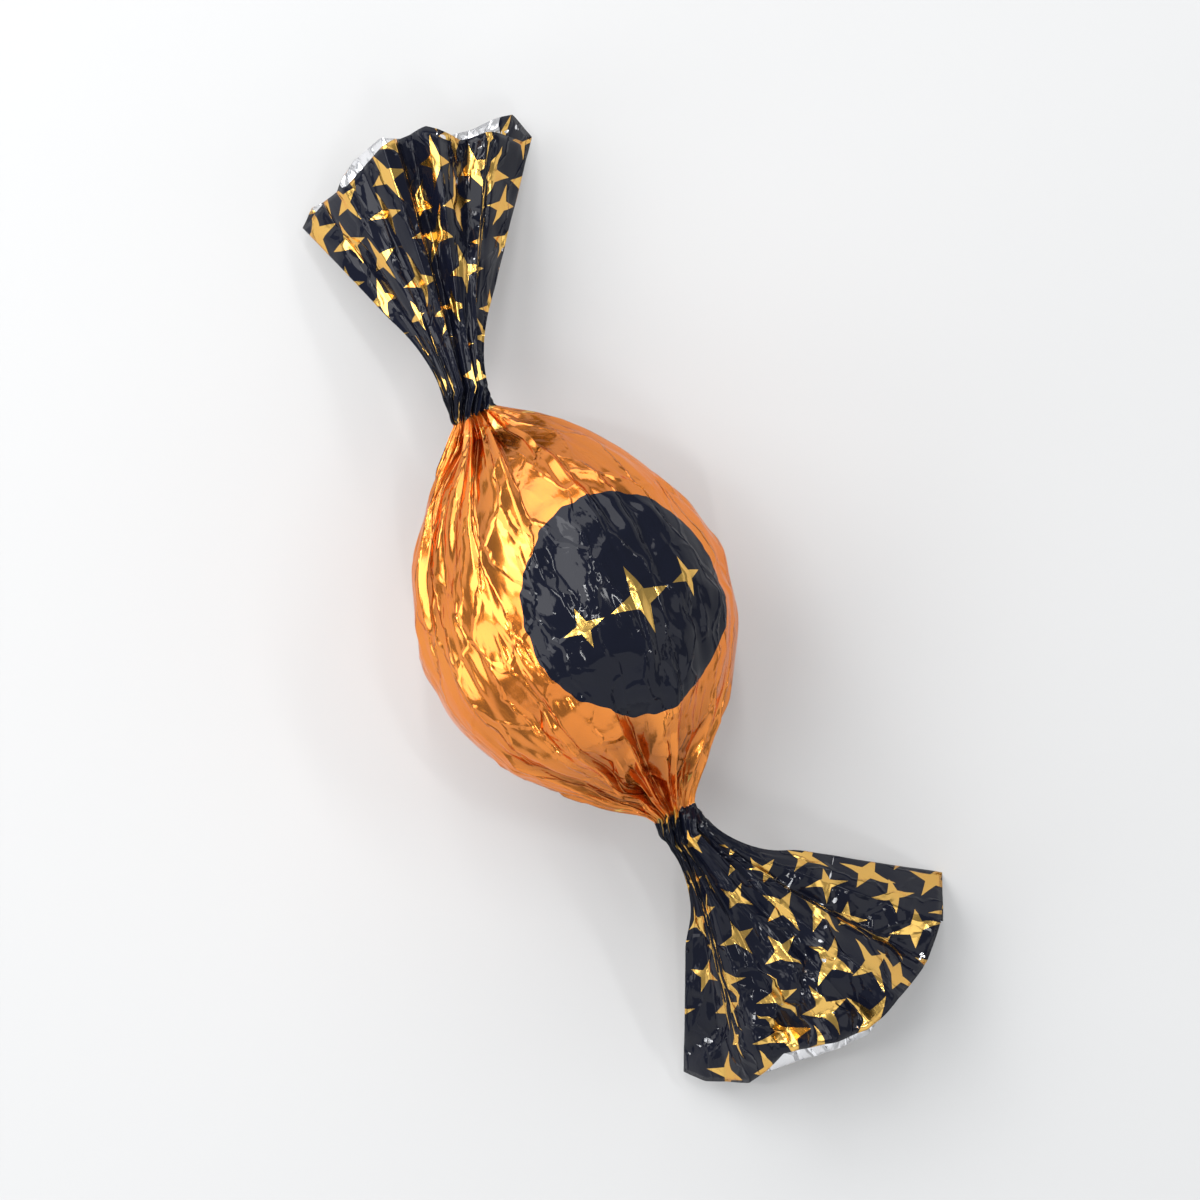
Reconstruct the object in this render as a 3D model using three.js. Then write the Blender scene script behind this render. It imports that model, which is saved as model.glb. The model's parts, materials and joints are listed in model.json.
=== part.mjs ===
// A chocolate ball twist-wrapped in printed foil, lying on its side.
//
// Millimetres, +Z up. +X runs along the wrapper from the twist on its long shoulder to the one on
// its short shoulder, and both fans turn a little towards +Y. The origin is the middle of the
// footprint, on the surface that the ball rests on.
//
// The wrapper is one sheet rolled round the ball and twisted shut at both ends. Beyond each twist
// it spreads into a flattened, drooping fan whose mouth stands slightly open. The solid is built
// as one skin of closed rings: out of the pocket in one fan, over its lip, along the outside of
// the whole piece, over the other lip and into the pocket of the other fan.

import * as THREE from 'three';
import { mergeVertices } from 'three/addons/utils/BufferGeometryUtils.js';

// Driving dimensions.
const BALL_RADIUS = 15;
const REST_FLAT_RADIUS = 2.8;
const NECK_RADIUS = 2.3;
const NECK_LENGTH = 2.6;
const WALL = 0.55;
const PLEATS = 24;

// Two pleats in every group are deep, and the ones between only ripple the slope that rises from
// a deep valley to the next deep crest.
const PLEAT_GROUP = 5;
const DEEP_IN_GROUP = [0, 2];

// The two twisted ends. shoulder is how far the twist sits from the middle of the ball, fill and
// taper shape the run of the foil from the ball down to it, and the pleats begin somewhere
// between firstPleat and lastPleat from the middle. heading turns the fan in plan, towards +Y,
// spread is half the angle that it opens to, and slant is how much further the lip reaches at its
// +Y corner than in its middle.
const LONG_END = {
  side: -1,
  shoulder: 22.5,
  fill: 2.2,
  taper: 1.0,
  firstPleat: 2,
  lastPleat: 8,
  heading: 0.2,
  reach: 25,
  spread: 0.5,
  slant: 1.8,
  droop: 4.2,
  cornerDroop: 9.7,
  twist: 1.1,
  seed: 11,
};
const SHORT_END = {
  side: 1,
  shoulder: 19.5,
  fill: 2.0,
  taper: 1.2,
  firstPleat: 5,
  lastPleat: 11,
  heading: 0.22,
  reach: 25,
  spread: 0.7,
  slant: 1.5,
  droop: 4.4,
  cornerDroop: 9.2,
  twist: -1.0,
  seed: 47,
};

// Folds of the fans.
const MOUTH_HALF_GAP = 2.3;
const NECK_FADE = 4.5;
const BROAD_FOLDS = 9;
const BROAD_FOLD_DEPTH = 1.5;
const FINE_FOLD_DEPTH = 0.9;
const LIP_UNEVENNESS = 1.7;
const LIP_POINTS = 17;
const POCKET_BOTTOM = 0.36;

// Rings along the piece.
const BODY_RINGS = 27;
const NECK_RINGS = 3;
const FAN_RINGS = 11;
const POCKET_RINGS = 6;

const TURN = 2 * Math.PI;
const AXIS_HEIGHT = Math.sqrt(BALL_RADIUS ** 2 - REST_FLAT_RADIUS ** 2);
const UP = new THREE.Vector3(0, 0, 1);
const { lerp, smoothstep, clamp } = THREE.MathUtils;

// A repeatable random number from 0 to 1 for each whole number.
function scatter(index) {
  const value = Math.sin(index * 12.9898 + 4.1414) * 43758.5453;
  return value - Math.floor(value);
}

function isDeep(pleat) {
  return DEEP_IN_GROUP.includes((pleat % PLEATS) % PLEAT_GROUP);
}

// Steps from a pleat to the nearest deep one, forwards or backwards.
function stepsToDeep(pleat, direction) {
  let steps = 0;
  while (!isDeep(pleat + steps * direction + PLEATS)) {
    steps += 1;
  }
  return steps;
}

// How low a crest lies: 0 on a deep pleat's crest, and rising back to 0 across the light ones.
function crestRelief(pleat) {
  const behind = stepsToDeep(pleat, -1);
  const ahead = stepsToDeep(pleat, 1);
  return behind === 0 ? 0 : (-0.75 * ahead) / (behind + ahead);
}

// Each pleat has a crest, a valley close behind it and a point halfway up the long flank. relief
// is 0 on a deep pleat's crest and under -1 in its valley, and onset is how late the pleat begins.
function pleatColumns() {
  const columns = [];
  const pitch = TURN / PLEATS;
  const crestAngle = (pleat) => pitch * (pleat + 0.5 * (scatter(pleat % PLEATS) - 0.5));
  for (let pleat = 0; pleat < PLEATS; pleat += 1) {
    const deep = isDeep(pleat);
    const crest = crestAngle(pleat);
    const gap = crestAngle(pleat + 1) - crest;
    const lean = deep ? 0.16 + 0.1 * scatter(pleat + 100) : 0.4;
    const depth = deep ? 1 + 0.5 * scatter(pleat + 200) : 0.12 + 0.25 * scatter(pleat + 200);
    const valley = crestRelief(pleat) - depth;
    const flank = lerp(valley, crestRelief((pleat + 1) % PLEATS), 0.5);
    const onset = scatter(pleat + 300);
    columns.push({ angle: crest, relief: crestRelief(pleat), onset });
    columns.push({ angle: crest + lean * gap, relief: valley, onset });
    columns.push({ angle: crest + (0.5 + 0.5 * lean) * gap, relief: flank, onset });
  }
  return columns;
}

const COLUMNS = pleatColumns();

function lookUp(table, position) {
  const place = clamp(position, 0, 1) * (table.length - 1);
  const index = Math.min(Math.floor(place), table.length - 2);
  return lerp(table[index], table[index + 1], place - index);
}

// Distance from the ball's axis to the pleat crests.
function crestRadius(end, x) {
  const run = Math.min(Math.abs(x) / end.shoulder, 1);
  return NECK_RADIUS + (BALL_RADIUS - NECK_RADIUS) * (1 - run ** end.fill) ** end.taper;
}

// A pleat takes up the width that the sheet no longer needs, lies flat while the foil hugs the
// ball and stands free on the way to the twist.
function pleatDepth(end, radius, x, onset) {
  const spare = (TURN / PLEATS / 2) * Math.sqrt(Math.max(BALL_RADIUS ** 2 - radius ** 2, 0));
  const start = lerp(end.firstPleat, end.lastPleat, onset);
  const freedom = lerp(0.16, 1, smoothstep(Math.abs(x), start, start + 7));
  return Math.min(spare * freedom, 0.36 * radius);
}

function bodyRing(x) {
  const end = x < 0 ? LONG_END : SHORT_END;
  const radius = crestRadius(end, x);
  const run = Math.abs(x) / end.shoulder;
  const lean = 0.3 * end.twist * run ** 4;
  return COLUMNS.map((column) => {
    const slack = 0.35 * Math.sin(2 * column.angle + end.seed) * smoothstep(run, 0.25, 0.6);
    const outer = radius + slack * (1 - run);
    const reach = outer + column.relief * pleatDepth(end, radius, x, column.onset);
    const angle = column.angle + lean;
    const height = Math.max(AXIS_HEIGHT + reach * Math.cos(angle), 0);
    return new THREE.Vector3(x, reach * Math.sin(angle), height);
  });
}

// Directions in plan at one end: along the ball's axis, out along the fan, and across the fan.
function planOf(end) {
  const axial = new THREE.Vector3(end.side, 0, 0);
  const out = new THREE.Vector3(end.side * Math.cos(end.heading), Math.sin(end.heading), 0);
  const across = new THREE.Vector3(-end.side * Math.sin(end.heading), Math.cos(end.heading), 0);
  return { axial, out, across };
}

// Middle of the twist at a share of its length.
function neckPoint(end, share) {
  const { axial, out } = planOf(end);
  const bend = 0.5 * share ** 2;
  return new THREE.Vector3(end.side * end.shoulder, 0, AXIS_HEIGHT)
    .addScaledVector(axial, NECK_LENGTH * (share - bend))
    .addScaledVector(out, NECK_LENGTH * bend);
}

function neckRing(end, share) {
  const { across } = planOf(end);
  const middle = neckPoint(end, share);
  const sideways = new THREE.Vector3(0, 1, 0).lerp(across, share).normalize();
  const turned = end.twist * (0.3 + 0.7 * share);
  return COLUMNS.map((column) => {
    const reach = NECK_RADIUS * (1 + 0.34 * column.relief);
    const angle = column.angle + turned;
    return middle
      .clone()
      .addScaledVector(sideways, reach * Math.sin(angle))
      .addScaledVector(UP, reach * Math.cos(angle));
  });
}

// Heights of the broad folds across a fan, from one side to the other.
function broadFolds(end) {
  const swing = (fold) => (0.55 + 0.45 * scatter(end.seed + fold)) * (fold % 2 === 0 ? 1 : -1);
  return Array.from({ length: BROAD_FOLDS + 1 }, (_, fold) => swing(fold));
}

// How far the lip stands out or in, round the fan. The first and last values meet.
function lipTable(end) {
  const stand = (point) => 2 * scatter(end.seed + 40 + (point % LIP_POINTS)) - 1;
  return Array.from({ length: LIP_POINTS + 1 }, (_, point) => stand(point));
}

// One ring round a fan. share runs from 0 at the twist to 1 at the lip, and inset moves the ring
// inwards by the thickness of the foil.
function fanRing(end, share, inset) {
  const { out, across } = planOf(end);
  const root = neckPoint(end, 1);
  const folds = broadFolds(end);
  const lips = lipTable(end);
  return COLUMNS.map((column) => {
    const angle = column.angle + end.twist;
    const flatness = smoothstep(share, 0, 0.45);
    const round = Math.sin(angle);
    const sideways = lerp(round, (2 / Math.PI) * Math.asin(round), 0.85 * flatness);
    const lift = Math.cos(angle);
    const layer = Math.sign(lift) * Math.abs(lift) ** lerp(1, 0.7, flatness);

    const lip = LIP_UNEVENNESS * lookUp(lips, column.angle / TURN) + end.slant * sideways;
    const distance = share * (end.reach + lip * share ** 2);
    const nearNeck = Math.exp(-distance / NECK_FADE);
    const halfWidth = Math.hypot(NECK_RADIUS, distance * Math.sin(end.spread)) - inset;
    const halfGap = NECK_RADIUS * nearNeck + MOUTH_HALF_GAP * share ** 0.8 - inset;

    const pinch = 1 + 0.34 * column.relief * nearNeck;
    const broad = BROAD_FOLD_DEPTH * share * lookUp(folds, (sideways + 1) / 2);
    const fine = FINE_FOLD_DEPTH * (1 - nearNeck) * (1 - 0.5 * share) * (column.relief + 0.5);
    const sag = share ** 1.4 * (end.droop + end.cornerDroop * sideways ** 2);
    const forward = distance * Math.cos(end.spread * sideways * flatness);
    const height = halfGap * layer * pinch + fine * Math.abs(layer) * layer + broad - sag;
    return root
      .clone()
      .addScaledVector(out, forward)
      .addScaledVector(across, halfWidth * sideways * pinch)
      .addScaledVector(UP, height);
  });
}

function evenly(count, from, to) {
  return Array.from({ length: count }, (_, index) => lerp(from, to, (index + 1) / count));
}

// Rings of one end, from the bottom of its pocket over the lip to the ball's shoulder.
function endRings(end) {
  const pocket = evenly(POCKET_RINGS, POCKET_BOTTOM, 0.995);
  const outside = evenly(FAN_RINGS, 1, 0);
  const twist = evenly(NECK_RINGS, 1, 0).slice(0, -1);
  return [
    fanRing(end, POCKET_BOTTOM, WALL),
    ...pocket.map((share) => fanRing(end, share, WALL)),
    fanRing(end, 1, 0),
    ...outside.map((share) => fanRing(end, share, 0)),
    ...twist.map((share) => neckRing(end, share)),
  ];
}

function bodyRings() {
  const rings = [];
  for (let ring = 0; ring <= BODY_RINGS; ring += 1) {
    const sweep = Math.sin((ring / BODY_RINGS - 0.5) * Math.PI * 0.93) / Math.sin(Math.PI * 0.465);
    const x = sweep < 0 ? sweep * LONG_END.shoulder : sweep * SHORT_END.shoulder;
    rings.push(bodyRing(x));
  }
  return rings;
}

// Closes the bottom of a pocket between its upper and lower layers, working from one side of the
// flattened ring to the other.
function pocketFloor(ring, first, facing) {
  const count = ring.length;
  const order = ring.map((_, index) => index);
  const across = (index) => ring[index % count].y;
  const start = order.reduce((low, index) => (across(index) < across(low) ? index : low), 0);
  const finish = order.reduce((high, index) => (across(index) > across(high) ? index : high), 0);
  const upperCount = (finish - start + count) % count;
  const lowerCount = count - upperCount;
  const upper = (step) => (start + step) % count;
  const lower = (step) => (start - step + count) % count;
  const triangles = [];
  let high = 0;
  let low = 0;
  while (high + low < count - 1) {
    const nextHigh = across(upper(high + 1));
    const nextLow = across(lower(low + 1));
    const takeUpper = low + 1 >= lowerCount || (high < upperCount && nextHigh <= nextLow);
    const triangle = takeUpper
      ? [upper(high), upper(high + 1), lower(low)]
      : [upper(high), lower(low + 1), lower(low)];
    if (takeUpper) {
      high += 1;
    } else {
      low += 1;
    }
    if (new Set(triangle).size === 3) {
      triangles.push(facing < 0 ? triangle : triangle.reverse());
    }
  }
  return triangles.flat().map((index) => first + index);
}

function skinGeometry() {
  const rings = [
    ...endRings(LONG_END),
    ...bodyRings(),
    ...endRings(SHORT_END).reverse(),
  ];
  const around = COLUMNS.length;
  const indices = [];
  for (let ring = 0; ring < rings.length - 1; ring += 1) {
    for (let column = 0; column < around; column += 1) {
      const here = ring * around + column;
      const beside = ring * around + ((column + 1) % around);
      indices.push(here, here + around, beside);
      indices.push(beside, here + around, beside + around);
    }
  }
  const lastRing = (rings.length - 1) * around;
  indices.push(...pocketFloor(rings[0], 0, -1));
  indices.push(...pocketFloor(rings[rings.length - 1], lastRing, 1));

  const geometry = new THREE.BufferGeometry().setFromPoints(rings.flat());
  geometry.setIndex(indices);
  return mergeVertices(geometry, 1e-4);
}

// Moves the model so that the middle of its footprint is the origin.
function centred(geometry) {
  geometry.computeBoundingBox();
  const middle = geometry.boundingBox.getCenter(new THREE.Vector3());
  geometry.translate(-middle.x, -middle.y, 0);
  geometry.computeVertexNormals();
  return geometry;
}

const orangeFoil = new THREE.MeshStandardMaterial({
  name: 'orange_foil',
  color: new THREE.Color(0.86, 0.42, 0.07),
  metalness: 0.9,
  roughness: 0.25,
});

const wrappedBall = new THREE.Mesh(centred(skinGeometry()), orangeFoil);
wrappedBall.name = 'wrapped_ball';

const chocolateBall = new THREE.Group();
chocolateBall.name = 'twist_wrapped_chocolate_ball';
chocolateBall.add(wrappedBall);

export default chocolateBall;
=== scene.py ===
"""A chocolate ball twist-wrapped in printed foil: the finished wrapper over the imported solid."""

import json
import math
from collections import namedtuple
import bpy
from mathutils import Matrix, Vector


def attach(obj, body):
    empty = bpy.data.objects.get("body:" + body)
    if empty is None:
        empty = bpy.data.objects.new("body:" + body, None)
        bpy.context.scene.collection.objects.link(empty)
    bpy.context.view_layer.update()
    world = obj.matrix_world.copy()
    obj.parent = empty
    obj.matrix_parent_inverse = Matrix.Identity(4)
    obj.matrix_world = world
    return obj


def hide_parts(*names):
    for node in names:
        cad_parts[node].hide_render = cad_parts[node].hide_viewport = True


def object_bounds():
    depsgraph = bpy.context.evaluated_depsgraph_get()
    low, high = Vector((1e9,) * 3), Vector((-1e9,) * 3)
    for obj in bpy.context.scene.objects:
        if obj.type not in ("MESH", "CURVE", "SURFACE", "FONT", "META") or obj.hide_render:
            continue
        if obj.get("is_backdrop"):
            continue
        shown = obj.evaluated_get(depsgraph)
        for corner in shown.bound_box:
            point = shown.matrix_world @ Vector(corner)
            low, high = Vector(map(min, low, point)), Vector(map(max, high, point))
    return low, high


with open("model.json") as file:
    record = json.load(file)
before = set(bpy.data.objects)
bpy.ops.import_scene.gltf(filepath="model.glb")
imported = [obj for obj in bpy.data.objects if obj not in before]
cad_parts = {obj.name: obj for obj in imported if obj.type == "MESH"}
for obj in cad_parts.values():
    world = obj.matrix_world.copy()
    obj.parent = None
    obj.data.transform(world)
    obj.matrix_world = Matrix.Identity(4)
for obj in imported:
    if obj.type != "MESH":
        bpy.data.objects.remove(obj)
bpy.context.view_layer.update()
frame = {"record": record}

from types import SimpleNamespace

import bpy
import numpy as np
from bpy.props import FloatProperty, FloatVectorProperty, IntProperty, PointerProperty
from bpy.types import Operator, Panel, PropertyGroup
from mathutils import Matrix, Vector

bl_info = {
    "name": "Twist-wrapped chocolate ball",
    "version": (1, 0, 0),
    "blender": (4, 5, 0),
    "location": "View3D > Sidebar > Sweets",
    "description": "Builds the printed foil wrapper of a chocolate ball and a soft studio round it",
    "category": "Object",
}

TURN = 2 * math.pi
MM = 0.001
NODE = "wrapped_ball"
REST_MOUNT = next(mount for mount in frame["record"]["mounts"] if mount["name"] == "rest_flat")
REST_POINT = REST_MOUNT["pos_m"]
BALL_RADIUS = 0.015
SHEET_ROUND = TURN * BALL_RADIUS / MM

# Rings of the mesh over each stretch of foil, the lines of a pleat that run the length of the
# sheet, and the parts of the mesh from one such line to the next.
POCKET_RINGS = 22
FAN_RINGS = 42
NECK_RINGS = 7
BODY_RINGS = 116
LINES_PER_PLEAT = 3
PARTS_PER_LINE = 5

# Pleats come in groups with some deep ones in each, and a few of all pleats lap in the fans.
PLEAT_GROUP = 5
DEEP_PLEATS = (0, 2)
LAPPED_PLEATS = (0, 7, 12, 20)

# Place of a pleat's valley on the way to the next crest, depth of that valley, unevenness of the
# crests' places, and height of the lowest crest between two deep pleats.
DEEP_LEAN = (0.16, 0.26)
SHALLOW_LEAN = 0.4
DEEP_VALLEY = (1.0, 1.5)
SHALLOW_VALLEY = (0.12, 0.37)
UNEVEN_CRESTS = 0.5
LOWEST_CREST = -0.75

# Share of its height that a pleat has before its start, length over which it rises from there to
# its pressed height, shares of the shoulder between which it comes to stand up, and its greatest
# height as a share of the foil's radius.
RIPPLED = 0.16
RISE_LENGTH = 7 * MM
STANDING_UP = (0.72, 0.96)
DEEPEST_PLEAT = 0.36

# Height of the pleats in the twist as a share of its radius, height of its knots, and share of
# the twist that the foil has taken before it.
PINCHED = 0.34
KNOT = 0.26 * MM
TWISTED_BEFORE_NECK = 0.3

# Depth in a pleat at which the shade painted into its valley is full, slack of the foil over the
# ball, and how much of the ball's crinkles the twist pulls smooth.
SHADED_FOLD = 1.1 * MM
SLACK = 0.35 * MM
PULLED_SMOOTH = 0.8

# Broad folds across a fan, their unevenness, and bends in a lip.
FAN_FOLDS = 10
UNEVEN_FOLDS = 0.45
LIP_BENDS = 17

# How far the rings over the ball crowd towards both twists, from 0 to 1, place of a pocket's
# bottom from the twist to the lip, and points that the length of a shoulder is measured through.
CROWDING = 0.93
POCKET_BOTTOM = 0.2
ARC_POINTS = 200

# The square that colours are baked through: corner and size of each stretch of foil on it.
BAKED_SHEET = ((0.01, 0.19), (0.98, 0.8))
BAKED_POCKETS = (((0.01, 0.01), (0.46, 0.16)), ((0.49, 0.01), (0.46, 0.16)))
BAKED_FLOORS = ((0.975, 0.05), (0.975, 0.13))
BAKED_FLOOR_RADIUS = 0.01


# ---------------------------------------------------------------- sizes and colours


def length(name, description, default):
    return FloatProperty(name=name, description=description, default=default, unit="LENGTH")


def angle(name, description, default):
    return FloatProperty(name=name, description=description, default=default, subtype="ANGLE")


def share(name, description, default):
    return FloatProperty(name=name, description=description, default=default)


def colour(name, description, default):
    return FloatVectorProperty(
        name=name, description=description, default=default, size=3, min=0, max=1, subtype="COLOR"
    )


class WrapperSizes(PropertyGroup):
    ball_radius: length("Ball radius", "Radius over the wrapped middle of the ball", BALL_RADIUS)
    rest_flat: length("Resting flat", "Radius of the small flat under the ball", 0.0028)
    neck_radius: length("Twist radius", "Radius of the twisted foil", 0.0023)
    neck_length: length("Twist length", "Length of the twisted foil", 0.0026)
    pleats: IntProperty(name="Pleats", description="Pleats gathered into each twist", default=24)
    foil: length("Foil thickness", "Thickness of the laminated foil", 0.00012)
    mouth: length("Mouth", "Half the gap between the layers at the lip of a fan", 0.0023)
    neck_fade: length("Twist fade", "Distance over which the twist opens into the fan", 0.0045)
    lip: length("Lip unevenness", "How far the lip of a fan stands out or in", 0.0017)
    fold: length("Broad folds", "Height of the broad folds at the lip of a fan", 0.0015)
    fine_fold: length("Fine folds", "Height of the fine folds near the twist", 0.0009)
    lap: share("Laps", "Height of the few lapping folds at the lip, in fine folds", 1.5)


class TwistedEnd:
    """Sizes that both ends have, as they are at the long end."""

    side: share("Side", "-1 at the long end and 1 at the short one", -1)
    shoulder: length("Shoulder", "Middle of the ball to the twist", 0.0225)
    fill: share("Fill", "How full the foil stays from the ball to the twist", 2.2)
    taper: share("Taper", "How sharply the foil draws in at the twist", 1.0)
    first_pleat: length("First pleat", "Nearest start of a pleat to the middle", 0.002)
    last_pleat: length("Last pleat", "Furthest start of a pleat from the middle", 0.008)
    pressed: share("Pressed pleats", "Height that pleats keep where they lie on the ball", 0.45)
    heading: angle("Heading", "Turn of the fan in plan, towards +Y", 0.2)
    reach: length("Reach", "Length of the fan beyond the twist", 0.025)
    spread: angle("Spread", "Half the angle that the fan opens to", 0.5)
    slant: length("Slant", "Further reach of the lip at its +Y corner than in its middle", 0.0018)
    droop: length("Droop", "How far the middle of the lip hangs down", 0.0042)
    corner_droop: length("Corner droop", "How much further the corners hang down", 0.0097)
    twist: angle("Twist", "Turn of the foil through the twist", 1.1)
    seed: IntProperty(name="Seed", description="Picks the folds of this end", default=11)


class LongEnd(PropertyGroup, TwistedEnd):
    """The end on the long shoulder."""


class ShortEnd(PropertyGroup, TwistedEnd):
    """The end on the short shoulder, with the sizes that differ."""

    side: share("Side", "-1 at the long end and 1 at the short one", 1)
    shoulder: length("Shoulder", "Middle of the ball to the twist", 0.0195)
    fill: share("Fill", "How full the foil stays from the ball to the twist", 2.0)
    taper: share("Taper", "How sharply the foil draws in at the twist", 1.2)
    first_pleat: length("First pleat", "Nearest start of a pleat to the middle", 0.005)
    last_pleat: length("Last pleat", "Furthest start of a pleat from the middle", 0.011)
    pressed: share("Pressed pleats", "Height that pleats keep where they lie on the ball", 0.8)
    heading: angle("Heading", "Turn of the fan in plan, towards +Y", 0.22)
    spread: angle("Spread", "Half the angle that the fan opens to", 0.7)
    slant: length("Slant", "Further reach of the lip at its +Y corner than in its middle", 0.0015)
    droop: length("Droop", "How far the middle of the lip hangs down", 0.0044)
    corner_droop: length("Corner droop", "How much further the corners hang down", 0.0092)
    twist: angle("Twist", "Turn of the foil through the twist", -1.0)
    seed: IntProperty(name="Seed", description="Picks the folds of this end", default=47)


class PrintSizes(PropertyGroup):
    orange: colour("Orange", "Transparent orange lacquer over the foil", (0.88, 0.29, 0.042))
    amber: colour("Amber", "Orange lacquer where it lies a little thicker", (0.82, 0.225, 0.026))
    # Painted shade: this dark orange stands in for the shade deep in the pleat valleys. It is not a
    # colour the foil has.
    painted_crease_shade: colour("Folded", "Orange foil deep in a pleat, in its own shade", (0.4, 0.12, 0.018))
    dark: colour("Dark", "Near-black blue ink on the disc and both ends", (0.005, 0.006, 0.013))
    gold: colour("Gold", "Stars left open in the dark ink", (0.84, 0.51, 0.12))
    silver: colour("Silver", "Bare back of the foil", (0.86, 0.86, 0.88))
    disc_radius: length("Disc radius", "Radius of the dark disc over the ball", 0.0113)
    disc_around: length("Disc place", "Middle of the disc, round the ball from its top", 0.0063)
    small_star: length("Small stars", "Reach of a star's tips beside the twist", 0.0013)
    large_star: length("Large stars", "Reach of a star's tips at the lip", 0.0027)


class StudioSizes(PropertyGroup):
    floor: length("Floor", "Side of the square floor", 3)
    floor_colour: colour("Floor colour", "Pale, even floor", (0.53, 0.53, 0.53))
    sky_colour: colour("Sky colour", "Even light from all round", (0.8, 0.85, 0.9))
    sky: share("Sky", "Strength of the even light", 0.35)
    framed: length("Framed width", "Width that the picture takes in", 0.118)
    lens: FloatProperty(name="Lens", description="Focal length in millimetres", default=120)
    roll: angle("Roll", "Turn of the wrapper's length from the picture's right, clockwise", 1.1021)


# ---------------------------------------------------------------- crumpled sheet


def scatter(index):
    """A repeatable random number from 0 to 1 for each whole number."""
    value = np.sin(np.asarray(index) * 12.9898 + 4.1414) * 43758.5453
    return value - np.floor(value)


def smoothstep(value, low, high):
    place = np.clip((value - low) / (high - low), 0, 1)
    return place * place * (3 - 2 * place)


def mix(start, finish, place):
    return start + (finish - start) * place


def zigzag(phase):
    """A wave of straight slopes and sharp turns, from -1 to 1."""
    return 2 / math.pi * np.arcsin(np.sin(phase))


def drift(along, around, seed):
    """A smooth random value from about -1 to 1 over the sheet, at places in millimetres along it
    and in radians round it."""
    waves = 5
    pitches = (7, 22)
    total = 0
    for wave in range(waves):
        turns, stretch, phase = scatter(seed + 7 * wave + np.arange(3))
        pitch = mix(*pitches, stretch)
        total = total + np.sin((1 + int(4 * turns)) * around + TURN * (along / pitch + phase))
    return total / (waves / 2)


def facets(along, around, pitch, count, seed):
    """Flat facets that meet in sharp creases, as in a sheet that was crumpled and smoothed out.
    They are about a pitch long, and count of them go round the sheet. Heights are from -1 to 1."""
    wander = 0.45
    p = along / pitch + wander * drift(along, around, seed)
    q = (around + TURN) * count / TURN + wander * drift(along, around, seed + 50)
    column = np.floor(p)
    row = np.floor(q)
    f = p - column
    g = q - row

    def corner(i, j):
        return 2 * scatter(seed + 17.0 * (column + i) + 131.0 * ((row + j) % count)) - 1

    flip = scatter(seed + 5.3 * column + 71.0 * (row % count)) < 0.5
    f = np.where(flip, 1 - f, f)
    near = np.where(flip, corner(1, 0), corner(0, 0))
    far = np.where(flip, corner(0, 1), corner(1, 1))
    beside = np.where(flip, corner(0, 0), corner(1, 0))
    above = np.where(flip, corner(1, 1), corner(0, 1))
    lower = near + f * (beside - near) + g * (far - beside)
    upper = near + g * (above - near) + f * (far - above)
    return np.where(f > g, lower, upper)


def creases(along, around, seed, count, reach, lengths, widths, heights, slant):
    """Single creases strewn over a reach of the sheet, each a ridge or a furrow with one steep
    side. Lengths and heights are in millimetres. A crease leans from the sheet's length by the
    slant at most."""
    ridges = 0.45
    narrowing = 0.4
    height = 0
    for crease in range(count):
        forward, round_sheet, turned, long, wide, steep, high, side = scatter(
            seed + 11 * crease + np.arange(8)
        )
        ahead = along - mix(*reach, forward)
        aside = ((around / TURN - round_sheet + 0.5) % 1 - 0.5) * SHEET_ROUND
        lean = slant * (2 * turned - 1) ** 3
        across = aside * math.cos(lean) - ahead * math.sin(lean)
        forth = aside * math.sin(lean) + ahead * math.cos(lean)
        half = mix(*lengths, long**2) / 2
        width = mix(*widths, wide**2) * (1 - narrowing * np.clip(forth / half, -1, 1))
        steep_width = width * mix(0.15, 0.6, steep)
        tent = np.minimum(1 - across / width, 1 + across / steep_width)
        fade = np.clip(1 - (forth / half) ** 2, 0, 1)
        rise = mix(*heights, high) * (1 if side < ridges else -1)
        height = height + rise * np.clip(tent, 0, 1) * fade
    return height


def body_creases(angle, along):
    """Crinkles over the ball: flat facets drawn out along it, a few long sharp creases and many
    short ones. The small ones gather in rough patches and ease off towards the twists."""
    tight = smoothstep(np.abs(along), 4, 17)
    patches = smoothstep(drift(along, angle, seed=640), -0.6, 0.7)
    rough = mix(0.15, 1.35, patches) * (1 - 0.5 * tight)
    broad = facets(along, angle, pitch=11, count=15, seed=210) * mix(0.4, 1.0, tight)
    middle = facets(along, angle, pitch=5, count=34, seed=310) * 0.3
    fine = facets(along, angle, pitch=2.6, count=72, seed=410) * 0.15
    long = creases(
        along, angle, seed=3000, count=46, reach=(-26, 24), lengths=(9, 30),
        widths=(0.7, 2.6), heights=(0.15, 0.45), slant=0.3,
    )
    short = creases(
        along, angle, seed=7000, count=220, reach=(-26, 24), lengths=(2, 7),
        widths=(0.4, 1.2), heights=(0.1, 0.3), slant=0.9,
    )
    return MM * (broad + rough * (middle + fine + short) + long)


def fan_folds(end, distance, sideways):
    """Folds that both layers of a fan share, from the twist outwards."""
    lateral = 0.9 * sideways
    broad = facets(distance, lateral, pitch=10, count=24, seed=end.seed + 600) * 1.3
    middle = facets(distance, lateral, pitch=5, count=50, seed=end.seed + 700) * 0.25
    long = creases(
        distance, lateral, seed=end.seed * 100, count=18, reach=(4, 26), lengths=(9, 30),
        widths=(1, 4), heights=(0.15, 0.6), slant=0.5,
    )
    return MM * (broad + middle + long)


def layer_creases(end, distance, angle):
    """Crinkles that one layer of a fan has for itself."""
    height = mix(0.16, 0.3, 1 - smoothstep(distance, 3, 10))
    middle = facets(distance, angle, pitch=3.6, count=30, seed=end.seed + 800) * height
    short = creases(
        distance, angle, seed=end.seed * 170, count=60, reach=(3, 27), lengths=(3, 9),
        widths=(0.5, 2), heights=(0.05, 0.18), slant=1.4,
    )
    return MM * (middle + short)


# ---------------------------------------------------------------- shape of the wrapper


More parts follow.
